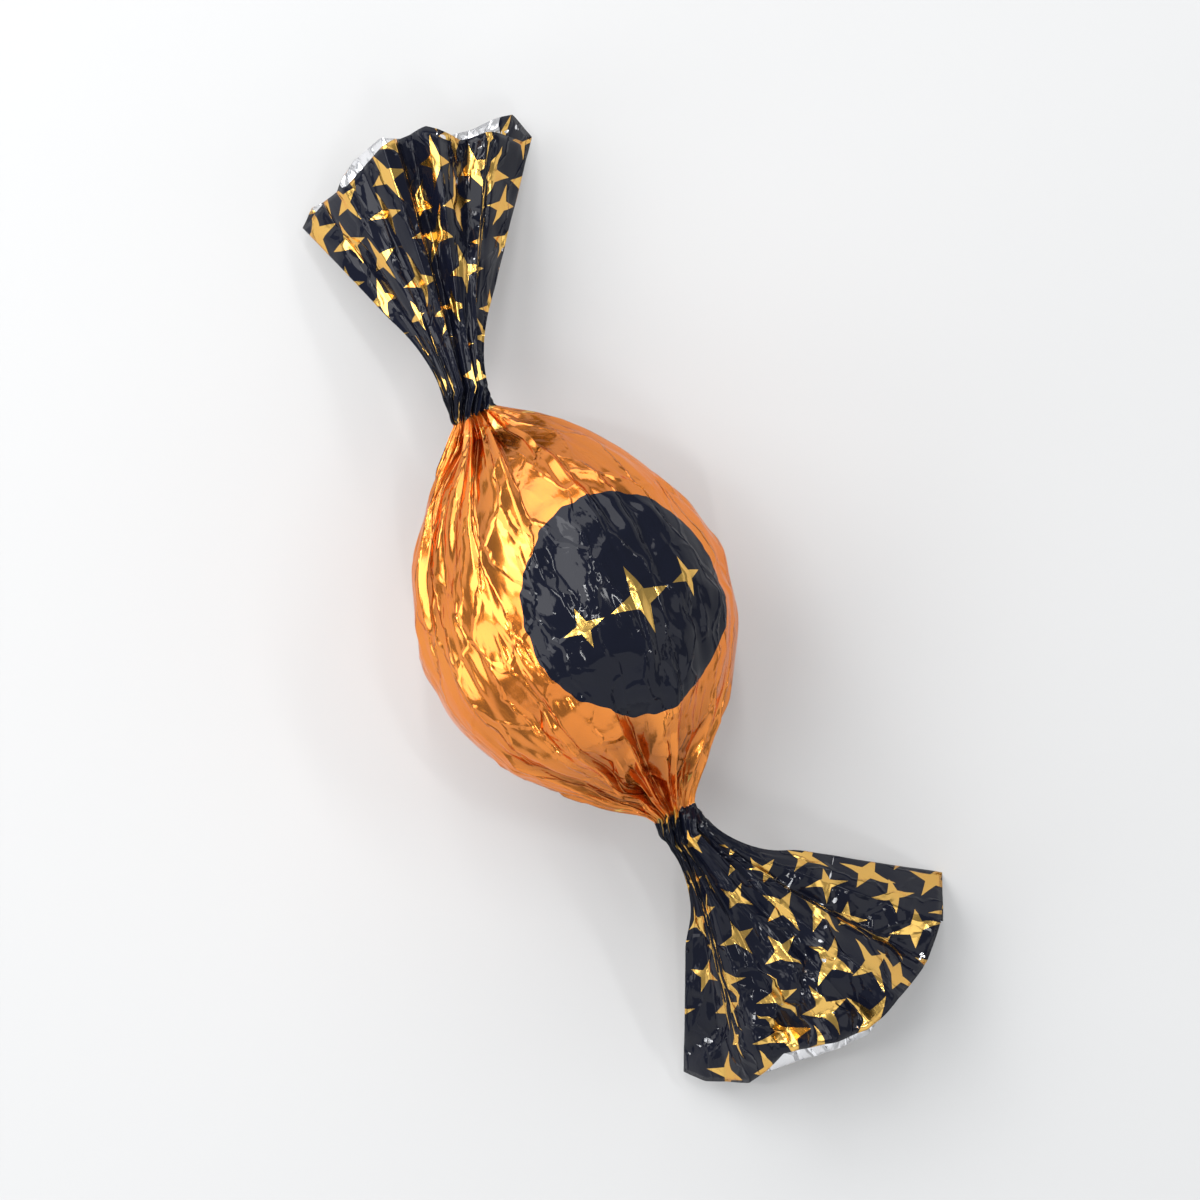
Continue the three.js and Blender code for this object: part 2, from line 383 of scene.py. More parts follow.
class Ring(namedtuple("Ring", "places along fold inside lapped")):
    """One ring of the skin: its points, their place along the flat sheet, how deep each lies in a
    pleat (which sets the shade painted into the pleat valleys), whether the ring is inside a
    pocket, and how far its pleats have turned into laps."""


def pleat_columns(pleats):
    """Lines that run the length of the sheet: a crest, a valley and a flank for each pleat, with
    more between. Some pleats are deep, and the ones between them only ripple the long slope from
    a deep valley to the next crest."""
    pleat = np.arange(pleats)
    crest = TURN / pleats * (pleat + UNEVEN_CRESTS * (scatter(pleat) - 0.5))
    gap = np.append(crest[1:], crest[0] + TURN) - crest
    deep = np.isin(pleat % PLEAT_GROUP, DEEP_PLEATS)
    lean = np.where(deep, mix(*DEEP_LEAN, scatter(pleat + 100)), SHALLOW_LEAN)
    angles = np.stack([crest, crest + lean * gap, crest + mix(0.5, 1, lean) * gap], 1).ravel()

    crest_relief = np.zeros(pleats)
    for start in pleat[deep]:
        count = next(step for step in range(1, pleats) if deep[(start + step) % pleats])
        for step in range(1, count):
            crest_relief[(start + step) % pleats] = LOWEST_CREST * (1 - step / count)
    draw = scatter(pleat + 200)
    depth = np.where(deep, mix(*DEEP_VALLEY, draw), mix(*SHALLOW_VALLEY, draw))
    valley_relief = crest_relief - depth
    flank_relief = mix(valley_relief, np.roll(crest_relief, -1), 0.5)
    relief = np.stack([crest_relief, valley_relief, flank_relief], 1).ravel()
    onset = np.repeat(scatter(pleat + 300), LINES_PER_PLEAT)
    known = np.arange(len(angles) + 1)
    places = np.arange(len(angles) * PARTS_PER_LINE) / PARTS_PER_LINE

    corners = [LINES_PER_PLEAT * lapped + step for lapped in LAPPED_PLEATS for step in (0, 1)]
    heights = [0, -1] * len(LAPPED_PLEATS)
    laps = np.interp(known[:-1], corners + [len(angles)], heights + [0])

    def closed(values, rise=0):
        return np.interp(places, known, np.append(values, values[0] + rise))

    return SimpleNamespace(
        angle=closed(angles, TURN),
        relief=closed(relief),
        onset=closed(onset),
        laps=closed(laps),
        deep_crests=LINES_PER_PLEAT * PARTS_PER_LINE * pleat[deep],
        lapped_crests=LINES_PER_PLEAT * PARTS_PER_LINE * np.array(LAPPED_PLEATS),
    )


def crest_radius(sizes, end, x):
    run = np.minimum(np.abs(x) / end.shoulder, 1)
    swell = (1 - run**end.fill) ** end.taper
    return sizes.neck_radius + (sizes.ball_radius - sizes.neck_radius) * swell


def pleat_depth(sizes, end, radius, x, onset):
    """A pleat takes up the width that the sheet no longer needs. It lies pressed on the ball and
    stands up near the twist."""
    spare = math.pi / sizes.pleats * np.sqrt(np.maximum(sizes.ball_radius**2 - radius**2, 0))
    start = mix(end.first_pleat, end.last_pleat, onset)
    freedom = mix(RIPPLED, end.pressed, smoothstep(np.abs(x), start, start + RISE_LENGTH))
    freedom = mix(freedom, 1, smoothstep(np.abs(x) / end.shoulder, *STANDING_UP))
    return np.minimum(spare * freedom, DEEPEST_PLEAT * radius)


def axis_height(sizes):
    return math.sqrt(sizes.ball_radius**2 - sizes.rest_flat**2)


def body_arc(sizes, end):
    """Distances from the middle, in plan and along the sheet, down one shoulder."""
    x = np.linspace(0, end.shoulder, ARC_POINTS)
    radius = crest_radius(sizes, end, x)
    steps = np.hypot(np.diff(x), np.diff(radius))
    return x, np.append(0, np.cumsum(steps))


def shoulder_arc(sizes, end):
    """Length of the sheet from the middle of the ball to the twist."""
    return body_arc(sizes, end)[1][-1]


def body_rings(sizes, ends, columns):
    """The foil over the ball, from one twist to the other."""
    phase = (np.arange(BODY_RINGS + 1) / BODY_RINGS - 0.5) * math.pi * CROWDING
    rings = []
    for step in np.sin(phase) / math.sin(math.pi * CROWDING / 2):
        end = ends[0] if step < 0 else ends[1]
        x = step * end.shoulder
        run = abs(step)
        radius = crest_radius(sizes, end, x)
        slack = SLACK * np.sin(2 * columns.angle + end.seed) * smoothstep(run, 0.25, 0.6)
        pleat = columns.relief * pleat_depth(sizes, end, radius, x, columns.onset)
        along = end.side * np.interp(abs(x), *body_arc(sizes, end))
        smoothed = PULLED_SMOOTH * smoothstep(run, 0.85, 1)
        crinkles = body_creases(columns.angle, along / MM) * (1 - smoothed)
        reach = radius + slack * (1 - run) + pleat + crinkles
        turned = columns.angle + TWISTED_BEFORE_NECK * end.twist * run**4
        height = np.maximum(axis_height(sizes) + reach * np.cos(turned), 0)
        places = np.stack([np.full_like(reach, x), reach * np.sin(turned), height], 1)
        # Painted shade: how deep the foil lies in a pleat's valley, which the material darkens as
        # if shaded.
        fold = np.clip(-pleat / SHADED_FOLD, 0, 1)
        rings.append(Ring(places, np.full_like(reach, along), fold, False, 0))
    return rings


def plan_of(end):
    """Directions in plan: along the ball, along the fan and across the fan."""
    axial = np.array([end.side, 0, 0])
    out = np.array([end.side * math.cos(end.heading), math.sin(end.heading), 0])
    across = np.array([-end.side * math.sin(end.heading), math.cos(end.heading), 0])
    return axial, out, across


def neck_point(sizes, end, place):
    """Middle of the twist, which bends from the ball's direction into the fan's."""
    axial, out, _ = plan_of(end)
    bend = 0.5 * place**2
    start = np.array([end.side * end.shoulder, 0, axis_height(sizes)])
    return start + sizes.neck_length * ((place - bend) * axial + bend * out)


def neck_ring(sizes, end, columns, place):
    """One ring round the twist: place is 0 at the ball and 1 at the fan."""
    _, _, across = plan_of(end)
    sideways = mix(np.array([0, 1, 0]), across, place)
    sideways = sideways / np.linalg.norm(sideways)
    turned = columns.angle + end.twist * mix(TWISTED_BEFORE_NECK, 1, place)
    knot_place = place * sizes.neck_length / MM
    knots = facets(knot_place, turned, pitch=1.5, count=17, seed=end.seed + 900) * KNOT
    reach = sizes.neck_radius * (1 + PINCHED * columns.relief) + knots
    around = np.outer(reach * np.sin(turned), sideways)
    around = around + np.outer(reach * np.cos(turned), [0, 0, 1])
    along = end.side * (shoulder_arc(sizes, end) + place * sizes.neck_length)
    places = neck_point(sizes, end, place) + around
    return Ring(places, np.full_like(reach, along), np.zeros_like(reach), False, 0)


def look_up(table, place):
    return np.interp(place * (len(table) - 1), np.arange(len(table)), table)


def fan_ring(sizes, end, columns, place, inset):
    """One ring round a fan: place is 0 at the twist and 1 at the lip."""
    _, out, across = plan_of(end)
    fold = np.arange(FAN_FOLDS)
    folds = mix(1 - UNEVEN_FOLDS, 1, scatter(end.seed + fold)) * np.where(fold % 2 == 0, 1, -1)
    bends = 2 * scatter(end.seed + 40 + np.arange(LIP_BENDS + 1) % LIP_BENDS) - 1

    turned = columns.angle + end.twist
    flatness = smoothstep(place, 0, 0.45)
    sideways = mix(np.sin(turned), zigzag(turned), 0.85 * flatness)
    lift = np.cos(turned)
    layer = np.sign(lift) * np.abs(lift) ** mix(1, 0.7, flatness)

    lip = sizes.lip * look_up(bends, columns.angle / TURN % 1) + end.slant * sideways
    distance = place * (end.reach + lip * place**2)
    near_neck = np.exp(-distance / sizes.neck_fade)
    half_width = np.hypot(sizes.neck_radius, distance * math.sin(end.spread)) - inset
    half_gap = sizes.neck_radius * near_neck + sizes.mouth * place**0.8 - inset

    pinch = 1 + PINCHED * columns.relief * near_neck
    broad = sizes.fold * place * look_up(folds, (sideways + 1) / 2)
    lapped = smoothstep(place, 0.05, 0.45)
    fine = mix(columns.relief + 0.5, sizes.lap * (columns.laps + 0.5), lapped)
    fine = sizes.fine_fold * (1 - near_neck) * fine
    own = layer_creases(end, distance / MM, columns.angle) * smoothstep(place, 0.05, 0.5)
    shared = fan_folds(end, distance / MM, sideways) * smoothstep(place, 0, 0.8)
    sag = place**1.4 * (end.droop + end.corner_droop * sideways**2)
    height = half_gap * layer * pinch + (fine + own) * np.abs(layer) * layer
    height = height + broad + shared - sag

    forward = distance * np.cos(end.spread * sideways * flatness)
    places = neck_point(sizes, end, 1) + np.outer(forward, out)
    places = places + np.outer(half_width * sideways * pinch, across)
    places[:, 2] = np.maximum(places[:, 2] + height, 0)
    along = end.side * (shoulder_arc(sizes, end) + sizes.neck_length + distance)
    return Ring(places, along, np.zeros_like(distance), inset > 0, lapped)


def end_rings(sizes, end, columns):
    """Rings of one end, from the bottom of its pocket over the lip to the ball's shoulder."""
    rings = []
    for place in np.linspace(POCKET_BOTTOM, 1, POCKET_RINGS):
        rings.append(fan_ring(sizes, end, columns, place, sizes.foil))
    for place in np.linspace(1, 0, FAN_RINGS):
        rings.append(fan_ring(sizes, end, columns, place, 0))
    for place in np.linspace(1, 0, NECK_RINGS + 1)[1:-1]:
        rings.append(neck_ring(sizes, end, columns, place))
    return rings


def sheet_across(sizes, columns, places, crests):
    """Distance round the flat sheet for each ring and column. The slope between two folds keeps
    its true width, and what it can't show is swallowed by the steep flank behind each fold's
    crest. The last column is the first again."""
    count = len(columns.angle)
    closed = np.concatenate([places, places[:, :1]], 1)
    steps = np.linalg.norm(np.diff(closed, axis=1), axis=2)
    even = np.append(columns.angle, columns.angle[0] + TURN) * sizes.ball_radius
    across = np.tile(even, (len(places), 1))
    crests = np.append(crests, count)
    for crest, next_crest in zip(crests[:-1], crests[1:]):
        valley = crest + PARTS_PER_LINE
        run = np.cumsum(steps[:, valley:next_crest], 1)
        run = np.concatenate([np.zeros((len(places), 1)), run], 1)
        run = run * np.minimum(1, (even[next_crest] - even[valley]) / run[:, -1:])
        middle = (even[valley] + even[next_crest]) / 2
        across[:, valley : next_crest + 1] = middle + run - run[:, -1:] / 2
    across[:, 0] = even[0] + across[:, count] - even[count]
    down_flank = np.linspace(0, 1, PARTS_PER_LINE + 1)
    for crest in crests[:-1]:
        valley = crest + PARTS_PER_LINE
        first = across[:, crest : crest + 1].copy()
        last = across[:, valley : valley + 1].copy()
        across[:, crest : valley + 1] = mix(first, last, down_flank)
    return across


def face_corners(grid):
    """The four corners of each face, from a grid with one more line than faces both ways."""
    return np.stack([grid[:-1, :-1], grid[1:, :-1], grid[1:, 1:], grid[:-1, 1:]], 2)


def sheet_spots(sizes, columns, rings, places):
    """Where each corner of each face lies on the flat sheet, along it and round it."""
    by_pleats = sheet_across(sizes, columns, places, columns.deep_crests)
    by_laps = sheet_across(sizes, columns, places, columns.lapped_crests)
    lapped = np.array([ring.lapped for ring in rings])[:, None]
    round_sheet = face_corners(mix(by_pleats, by_laps, lapped))
    under = round_sheet.mean(2, keepdims=True) > math.pi * sizes.ball_radius
    round_sheet = round_sheet - np.where(under, TURN * sizes.ball_radius, 0)
    along = np.stack([ring.along for ring in rings])
    along = face_corners(np.concatenate([along, along[:, :1]], 1))
    spots = np.stack([along, round_sheet], -1).reshape(-1, 2)
    return np.concatenate([spots, np.zeros((2 * places.shape[1], 2))])


def bake_spots(places):
    """Where each corner of each face lies on the square that colours are baked through: the
    outside of the sheet fills most of it, and the pockets and their floors lie beside it."""
    run = np.append(0, np.cumsum(np.linalg.norm(np.diff(places, axis=0), axis=2).mean(1)))
    first_lip = POCKET_RINGS - 1
    last = len(places) - 1
    last_lip = last - first_lip
    around = places.shape[1]
    spots = []
    for first, final, (corner, size), turned in (
        (0, first_lip, BAKED_POCKETS[0], True),
        (first_lip, last_lip, BAKED_SHEET, False),
        (last_lip, last, BAKED_POCKETS[1], True),
    ):
        forth = (run[first : final + 1] - run[first]) / (run[final] - run[first])
        across, up = np.meshgrid(forth, np.linspace(0, 1, around + 1), indexing="ij")
        if turned:
            across, up = up, across
        grid = np.stack([corner[0] + size[0] * across, corner[1] + size[1] * up], -1)
        spots.append(face_corners(grid).reshape(-1, 2))
    turn = TURN * np.arange(around) / around
    for middle in BAKED_FLOORS:
        spots.append(middle + BAKED_FLOOR_RADIUS * np.stack([np.cos(turn), np.sin(turn)], 1))
    return np.concatenate(spots)


def wrapper_mesh(sizes, ends, name):
    """One closed skin of quads: out of one fan's pocket, along the outside and into the other
    pocket, with a floor at the bottom of both pockets."""
    columns = pleat_columns(sizes.pleats)
    long = end_rings(sizes, ends[0], columns)
    short = end_rings(sizes, ends[1], columns)
    rings = long + body_rings(sizes, ends, columns) + short[::-1]
    around = len(columns.angle)
    places = np.stack([ring.places for ring in rings])
    places += np.array([REST_POINT[0], REST_POINT[1], 0])

    number = np.arange(len(rings) * around).reshape(-1, around)
    corners = face_corners(np.concatenate([number, number[:, :1]], 1)).reshape(-1, 4)
    faces = corners.tolist() + [number[0].tolist(), number[-1, ::-1].tolist()]
    mesh = bpy.data.meshes.new(name)
    mesh.from_pydata(places.reshape(-1, 3), [], faces)

    # The fold attribute carries the depth in a pleat that sets the painted shade in the pleat
    # valleys.
    fold = np.concatenate([ring.fold for ring in rings]).astype(np.float32)
    mesh.attributes.new("fold", "FLOAT", "POINT").data.foreach_set("value", fold)
    for layer, spots in (
        ("sheet", sheet_spots(sizes, columns, rings, places)),
        ("OFBake", bake_spots(places)),
    ):
        uv = mesh.uv_layers.new(name=layer).uv
        uv.foreach_set("vector", spots.astype(np.float32).ravel())

    inside = np.array([ring.inside for ring in rings])
    silver = np.repeat(inside[:-1] & inside[1:], around)
    mesh.polygons.foreach_set("material_index", np.append(silver, [True, True]).astype(int))
    mesh.polygons.foreach_set("use_smooth", np.ones(len(faces), bool))
    mesh.update()
    return mesh


# ---------------------------------------------------------------- printed foil

# In millimetres on the flat sheet: side of the cell that holds a star, distance over which the
# stars grow from the twist to the lip, and how far before the twist they start. NOTCH is how far
# a star's notches lie out along both of its axes, as a share of its tips' reach.
STAR_CELL = 6.8
STAR_GROWTH = 22.0
STARS_BEFORE_NECK = 3.5
NOTCH = 0.22

# Ranges that each star is drawn from: its place in its cell, its turn, how much it is squeezed
# across, its size, and the shares of both layers' stars that are kept.
STAR_PLACE = (0.42, 0.58)
STAR_TURN = (-0.4, 0.4)
STAR_SQUEEZE = (0.78, 1.13)
STAR_SIZE = (0.8, 1.2)
STARS_KEPT = (1.0, 0.94)

# The row of stars on the disc: place across the sheet and reach of the tips, in millimetres.
DISC_STARS = ((-6.0, 2.0), (0.0, 3.4), (6.0, 2.0))

# How far the edge of the ink wanders beside the twists and round the disc, in millimetres.
RAGGED_INK = 1.2
UNEVEN_DISC = 0.6

# Height of the fine relief, in metres.
PRINT_RELIEF = 0.0001
BACK_RELIEF = 0.00035


class Sketch:
    """Adds nodes to a material's tree, with plain numbers or sockets as inputs."""

    def __init__(self, material):
        material.use_nodes = True
        self.tree = material.node_tree
        self.tree.nodes.clear()

    def node(self, kind, inputs=(), **settings):
        made = self.tree.nodes.new(kind)
        for setting, value in settings.items():
            setattr(made, setting, value)
        for key, value in dict(inputs).items():
            self.plug(value, made.inputs[key])
        return made

    def plug(self, value, socket):
        if isinstance(value, bpy.types.NodeSocket):
            self.tree.links.new(value, socket)
        else:
            socket.default_value = value

    def math(self, operation, first, second=0.0, third=0.0):
        inputs = {0: first, 1: second, 2: third}
        return self.node("ShaderNodeMath", inputs, operation=operation).outputs[0]

    def between(self, place, start, finish):
        """start where place is 0 and finish where it is 1."""
        return self.math("MULTIPLY_ADD", place, finish - start, start)

    def remap(self, value, low, high, start, finish):
        """start up to the low value, and finish from the high value on."""
        inputs = {0: value, 1: low, 2: high, 3: start, 4: finish}
        return self.node("ShaderNodeMapRange", inputs).outputs[0]

    def joined(self, x, y, z=0.0):
        return self.node("ShaderNodeCombineXYZ", {0: x, 1: y, 2: z}).outputs[0]

    def split(self, vector):
        return self.node("ShaderNodeSeparateXYZ", {0: vector}).outputs

    def vector(self, operation, *inputs):
        return self.node("ShaderNodeVectorMath", enumerate(inputs), operation=operation).outputs

    def noise(self, spot, scale, detail):
        inputs = {"Vector": spot, "Scale": scale, "Detail": detail}
        return self.node("ShaderNodeTexNoise", inputs).outputs

    def cells(self, spot, scale, **settings):
        inputs = {"Vector": spot, "Scale": scale}
        return self.node("ShaderNodeTexVoronoi", inputs, **settings).outputs[0]

    def blend(self, factor, first, second):
        made = self.node("ShaderNodeMix", {0: factor}, data_type="RGBA")
        self.plug(first, made.inputs[6])
        self.plug(second, made.inputs[7])
        return made.outputs[2]

    def bump(self, height, distance):
        inputs = {"Height": height, "Strength": 1.0, "Distance": distance}
        return self.node("ShaderNodeBump", inputs).outputs[0]

    def finish(self, inputs):
        shader = self.node("ShaderNodeBsdfPrincipled", inputs)
        self.node("ShaderNodeOutputMaterial", {"Surface": shader.outputs[0]})


def sheet_place(sketch):
    """Places along and round the flat sheet, in millimetres."""
    spot = sketch.split(sketch.node("ShaderNodeUVMap", uv_map="sheet").outputs[0])
    return sketch.math("MULTIPLY", spot[0], 1 / MM), sketch.math("MULTIPLY", spot[1], 1 / MM)


def star(sketch, x, y, reach):
    """1 inside a four-pointed star round the origin, and 0 outside. Its sides run straight from
    tip to notch."""
    sides = [sketch.math("ABSOLUTE", value) for value in (x, y)]
    forth = sketch.math("MULTIPLY", sketch.math("MAXIMUM", *sides), NOTCH)
    total = sketch.math("MULTIPLY_ADD", sketch.math("MINIMUM", *sides), 1 - NOTCH, forth)
    return sketch.math("LESS_THAN", total, sketch.math("MULTIPLY", reach, NOTCH))


def star_layer(sketch, along, around, shift, reach, kept):
    """Stars in jittered cells of the sheet, each a little turned and of its own size. The cells
    are shifted by a share of their size, and a share of the stars is kept."""
    x = sketch.math("DIVIDE", sketch.math("ADD", along, shift * STAR_CELL), STAR_CELL)
    y = sketch.math("DIVIDE", sketch.math("ADD", around, shift * STAR_CELL), STAR_CELL)
    column = sketch.math("FLOOR", x)
    row = sketch.math("FLOOR", y)
    cell = sketch.joined(column, row, shift * 7.3 + 0.5)
    noise = sketch.node("ShaderNodeTexWhiteNoise", {"Vector": cell}, noise_dimensions="3D").outputs
    draw = sketch.node("ShaderNodeSeparateColor", {0: noise["Color"]}).outputs

    left = sketch.math("SUBTRACT", x, column)
    left = sketch.math("SUBTRACT", left, sketch.between(draw[0], *STAR_PLACE))
    up = sketch.math("SUBTRACT", y, row)
    up = sketch.math("SUBTRACT", up, sketch.between(draw[1], *STAR_PLACE))
    spin = {"Vector": sketch.joined(left, up), "Angle": sketch.between(draw[2], *STAR_TURN)}
    spun = sketch.node("ShaderNodeVectorRotate", spin, rotation_type="Z_AXIS").outputs[0]
    local = sketch.split(spun)

    squeezed = sketch.math("MULTIPLY", local[0], sketch.between(draw[1], *STAR_SQUEEZE))
    own_reach = sketch.math("MULTIPLY", reach, sketch.between(noise["Value"], *STAR_SIZE))
    inside = star(sketch, squeezed, local[1], sketch.math("DIVIDE", own_reach, STAR_CELL))
    chance = sketch.math("FRACT", sketch.math("MULTIPLY", draw[2], 7.0))
    return sketch.math("MULTIPLY", inside, sketch.math("LESS_THAN", chance, kept))


def crumple(sketch, along, around, knotted=0.0):
    """Fine relief of the sheet, and how crumpled each place is: small flat facets drawn out
    along it, stronger in patches and where it is knotted, and thin long creases."""
    spot = sketch.joined(along, around)
    sway = sketch.noise(spot, scale=0.35, detail=2.0)["Color"]
    swayed = sketch.vector("MULTIPLY_ADD", sway, (2.2, 2.2, 0.0), spot)[0]
    drawn = sketch.vector("MULTIPLY", swayed, (0.42, 1.0, 1.0))[0]
    coarse = sketch.cells(drawn, 0.55, distance="MANHATTAN")
    fine = sketch.cells(drawn, 1.3, distance="CHEBYCHEV")
    edge = sketch.cells(drawn, 0.3, feature="DISTANCE_TO_EDGE")
    crease = sketch.remap(edge, 0.0, 0.06, 0.7, 0.0)
    patch = sketch.noise(spot, scale=0.13, detail=1.0)[0]
    rough = sketch.math("MAXIMUM", sketch.remap(patch, 0.42, 0.64, 0.05, 0.75), knotted)
    both = sketch.math("MULTIPLY_ADD", fine, 0.45, coarse)
    return sketch.math("MULTIPLY_ADD", both, rough, crease), rough


def printed_foil(printing, sizes, ends):
    """Orange lacquered foil with painted shade deep in its pleats, a dark disc and dark ends full
    of gold stars, under a clear film. Lengths in its nodes are in millimetres on the flat sheet."""
    material = bpy.data.materials.new("printed_foil")
    sketch = Sketch(material)
    along, around = sheet_place(sketch)
    spot = sketch.joined(along, around)
    long_arc, short_arc = [shoulder_arc(sizes, end) / MM for end in ends]

    ragged = sketch.noise(sketch.joined(0.0, around), scale=0.9, detail=2.0)[0]
    past_short = sketch.math("SUBTRACT", along, short_arc)
    past_long = sketch.math("SUBTRACT", sketch.math("MULTIPLY", along, -1), long_arc)
    beyond = sketch.math("MAXIMUM", past_short, past_long)
    beyond = sketch.math("ADD", beyond, sketch.between(ragged, -RAGGED_INK, RAGGED_INK))
    on_end = sketch.math("GREATER_THAN", beyond, 0.0)

    disc_y = sketch.math("SUBTRACT", around, printing.disc_around / MM)
    disc_gap = sketch.vector("LENGTH", sketch.joined(along, disc_y))[1]
    radius = printing.disc_radius / MM
    uneven = sketch.noise(spot, scale=0.45, detail=1.0)[0]
    disc_edge = sketch.between(uneven, radius - UNEVEN_DISC, radius + UNEVEN_DISC)
    on_disc = sketch.math("LESS_THAN", disc_gap, disc_edge)
    inked = sketch.math("MAXIMUM", on_end, on_disc)

    small, large = printing.small_star / MM, printing.large_star / MM
    reach = sketch.remap(beyond, 0.0, STAR_GROWTH, small, large)
    layers = [
        star_layer(sketch, along, around, shift, reach, kept)
        for shift, kept in zip((0.0, 0.5), STARS_KEPT)
    ]
    starred = sketch.math("GREATER_THAN", beyond, -STARS_BEFORE_NECK)
    gold = sketch.math("MULTIPLY", sketch.math("MAXIMUM", *layers), starred)
    for place, size in DISC_STARS:
        disc_star = star(sketch, along, sketch.math("SUBTRACT", disc_y, place), size)
        gold = sketch.math("MAXIMUM", gold, disc_star)

    # Painted shade: deep in the pleat valleys the lacquer is blended towards a dark crease colour
    # that stands in for the shade there.
    fold = sketch.node("ShaderNodeAttribute", attribute_name="fold").outputs["Fac"]
    thick = sketch.remap(sketch.noise(spot, scale=0.07, detail=1.0)[0], 0.35, 0.65, 0.0, 0.8)
    lacquer = sketch.blend(thick, (*printing.orange, 1), (*printing.amber, 1))
    foil = sketch.blend(sketch.math("MULTIPLY", fold, 0.9), lacquer, (*printing.painted_crease_shade, 1))
    tint = sketch.blend(inked, foil, (*printing.dark, 1))
    tint = sketch.blend(gold, tint, (*printing.gold, 1))
    bare = sketch.math("SUBTRACT", 1.0, inked)

    to_neck = sketch.math("ABSOLUTE", sketch.math("SUBTRACT", beyond, 2.0))
    knotted = sketch.remap(to_neck, 2.0, 6.0, 1.6, 0.0)
    relief, crumpled = crumple(sketch, along, around, knotted)
    bump = sketch.bump(relief, PRINT_RELIEF)
    sketch.finish(
        {
            "Base Color": tint,
            "Metallic": sketch.math("MAXIMUM", bare, gold),
            "Roughness": sketch.between(crumpled, 0.19, 0.28),
            "Specular IOR Level": 0.0,
            "Specular Tint": (1.0, 0.55, 0.3, 1.0),
            "Coat Weight": sketch.between(inked, 0.55, 0.45),
            "Coat Roughness": 0.08,
            "Coat Normal": bump,
            "Normal": bump,
        }
    )
    return material


def silver_back(printing):
    """Bare metal on the inside of the sheet."""
    material = bpy.data.materials.new("silver_back")
    sketch = Sketch(material)
    relief, crumpled = crumple(sketch, *sheet_place(sketch))
    sketch.finish(
        {
            "Base Color": (*printing.silver, 1),
            "Metallic": 1.0,
            "Roughness": sketch.between(crumpled, 0.2, 0.35),
            "Normal": sketch.bump(relief, BACK_RELIEF),
        }
    )
    return material


class SWEETS_OT_foil_wrapper(Operator):
    """Fold the printed sheet round the ball, pleat it into both twists and fan out its ends"""

    bl_idname = "sweets.foil_wrapper"
    bl_label = "Foil Wrapper"

    def execute(self, context):
        scene = context.scene
        ends = (scene.long_end, scene.short_end)
        mesh = wrapper_mesh(scene.wrapper_sizes, ends, "foil_wrapper")
        mesh.materials.append(printed_foil(scene.print_sizes, scene.wrapper_sizes, ends))
        mesh.materials.append(silver_back(scene.print_sizes))
        wrapper = bpy.data.objects.new("foil_wrapper", mesh)
        scene.collection.objects.link(wrapper)
        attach(wrapper, "root")
        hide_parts(NODE)
        return {"FINISHED"}


# ---------------------------------------------------------------- stage

# Each light's name, its place from the floor under the wrapper's middle (to the picture's right,
# up the picture and over the floor), its width and height, and its power.
LIGHTS = (
    ("key", (-0.34, 0.16, 0.36), (0.4, 0.36), 1.9),
    ("back", (-0.12, 0.55, 0.32), (0.8, 0.34), 2.4),
    ("left", (-0.42, -0.2, 0.25), (0.3, 0.3), 0.75),
    ("right", (0.45, -0.05, 0.25), (0.3, 0.3), 0.3),
    ("front", (0.14, -0.5, 0.22), (0.9, 0.5), 1.0),
    ("strip", (-0.02, 0.24, 0.5), (0.03, 0.3), 0.5),
    ("edge", (0.28, 0.14, 0.45), (0.28, 0.03), 0.4),
    ("left_glint", (-0.2, 0.02, 0.5), (0.02, 0.12), 0.3),
    ("right_glint", (0.12, 0.1, 0.55), (0.12, 0.02), 0.3),
    ("low_glint", (0.05, -0.22, 0.5), (0.02, 0.1), 0.25),
)
FLOOR_ROUGHNESS = 0.7
SENSOR_WIDTH = 36


def lay_floor(scene, studio):
    half = studio.floor / 2
    corners = [(-half, -half, 0), (half, -half, 0), (half, half, 0), (-half, half, 0)]
    mesh = bpy.data.meshes.new("floor")
    mesh.from_pydata(corners, [], [(0, 1, 2, 3)])
    material = bpy.data.materials.new("pale_floor")
    finish = {"Base Color": (*studio.floor_colour, 1), "Roughness": FLOOR_ROUGHNESS}
    Sketch(material).finish(finish)
    mesh.materials.append(material)
    floor = bpy.data.objects.new("floor", mesh)
    scene.collection.objects.link(floor)
    floor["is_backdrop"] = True


def hang_light(scene, name, place, aim, size, power):
    lamp = bpy.data.lights.new(name, "AREA")
    lamp.shape = "RECTANGLE"
    lamp.size, lamp.size_y = size
    lamp.energy = power
    light = bpy.data.objects.new(name, lamp)
    light.location = place
    light.rotation_euler = (aim - place).to_track_quat("-Z", "Y").to_euler()
    scene.collection.objects.link(light)


def light_sky(scene, studio):
    world = bpy.data.worlds.new("studio")
    world.use_nodes = True
    background = world.node_tree.nodes["Background"]
    background.inputs["Color"].default_value = (*studio.sky_colour, 1)
    background.inputs["Strength"].default_value = studio.sky
    scene.world = world


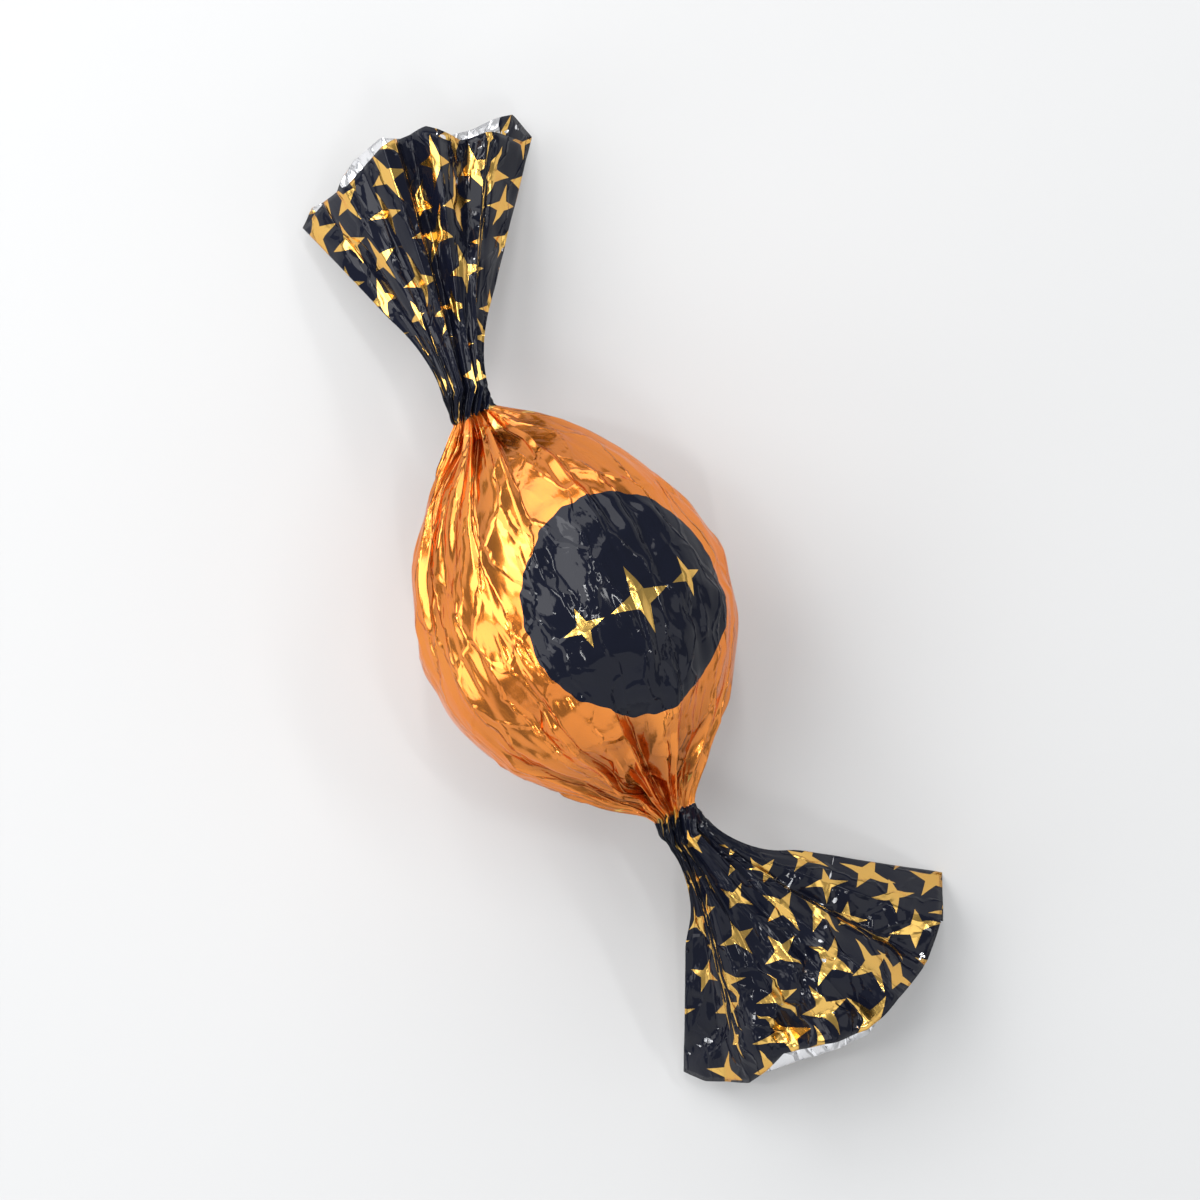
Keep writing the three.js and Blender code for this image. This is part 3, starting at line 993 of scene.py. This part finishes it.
class SWEETS_OT_studio(Operator):
    """Lay the pale floor, hang the soft lights and set the camera over the wrapped ball"""

    bl_idname = "sweets.studio"
    bl_label = "Studio"

    def execute(self, context):
        scene = context.scene
        studio = scene.studio_sizes
        lay_floor(scene, studio)
        light_sky(scene, studio)
        scene.view_settings.view_transform = "Standard"

        right = Vector((math.cos(studio.roll), math.sin(studio.roll), 0))
        up = Vector((-right.y, right.x, 0))
        low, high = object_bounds()
        middle = Vector(((low.x + high.x) / 2, (low.y + high.y) / 2, low.z))

        def over(sideways, upward, height):
            return middle + right * sideways + up * upward + Vector((0, 0, height))

        for name, place, size, power in LIGHTS:
            hang_light(scene, name, over(*place), middle, size, power)

        lens = bpy.data.cameras.new("camera")
        lens.lens = studio.lens
        lens.sensor_width = SENSOR_WIDTH
        place = over(0, 0, studio.framed * studio.lens / SENSOR_WIDTH)
        camera = bpy.data.objects.new("camera", lens)
        camera.matrix_world = Matrix(
            (
                (right.x, up.x, 0, place.x),
                (right.y, up.y, 0, place.y),
                (0, 0, 1, place.z),
                (0, 0, 0, 1),
            )
        )
        scene.collection.objects.link(camera)
        scene.camera = camera
        return {"FINISHED"}


# ---------------------------------------------------------------- panel


class SWEETS_PT_panel(Panel):
    """Lists the pieces of the wrapped ball and the sizes behind them"""

    bl_idname = "SWEETS_PT_panel"
    bl_label = "Chocolate Ball"
    bl_space_type = "VIEW_3D"
    bl_region_type = "UI"
    bl_category = "Sweets"

    def draw(self, context):
        layout = self.layout
        for operator in OPERATORS:
            layout.operator(operator.bl_idname)
        for group in GROUPS:
            box = layout.box()
            settings = getattr(context.scene, group)
            for name in settings.bl_rna.properties.keys()[2:]:
                box.prop(settings, name)


GROUPS = {
    "wrapper_sizes": WrapperSizes,
    "long_end": LongEnd,
    "short_end": ShortEnd,
    "print_sizes": PrintSizes,
    "studio_sizes": StudioSizes,
}
OPERATORS = (SWEETS_OT_foil_wrapper, SWEETS_OT_studio)


def register():
    for name, group in GROUPS.items():
        bpy.utils.register_class(group)
        setattr(bpy.types.Scene, name, PointerProperty(type=group))
    for made in (*OPERATORS, SWEETS_PT_panel):
        bpy.utils.register_class(made)


def unregister():
    for made in (SWEETS_PT_panel, *reversed(OPERATORS)):
        bpy.utils.unregister_class(made)
    for name, group in reversed(GROUPS.items()):
        delattr(bpy.types.Scene, name)
        bpy.utils.unregister_class(group)


def main():
    register()
    bpy.ops.sweets.foil_wrapper()
    bpy.ops.sweets.studio()


if __name__ == "__main__":
    main()
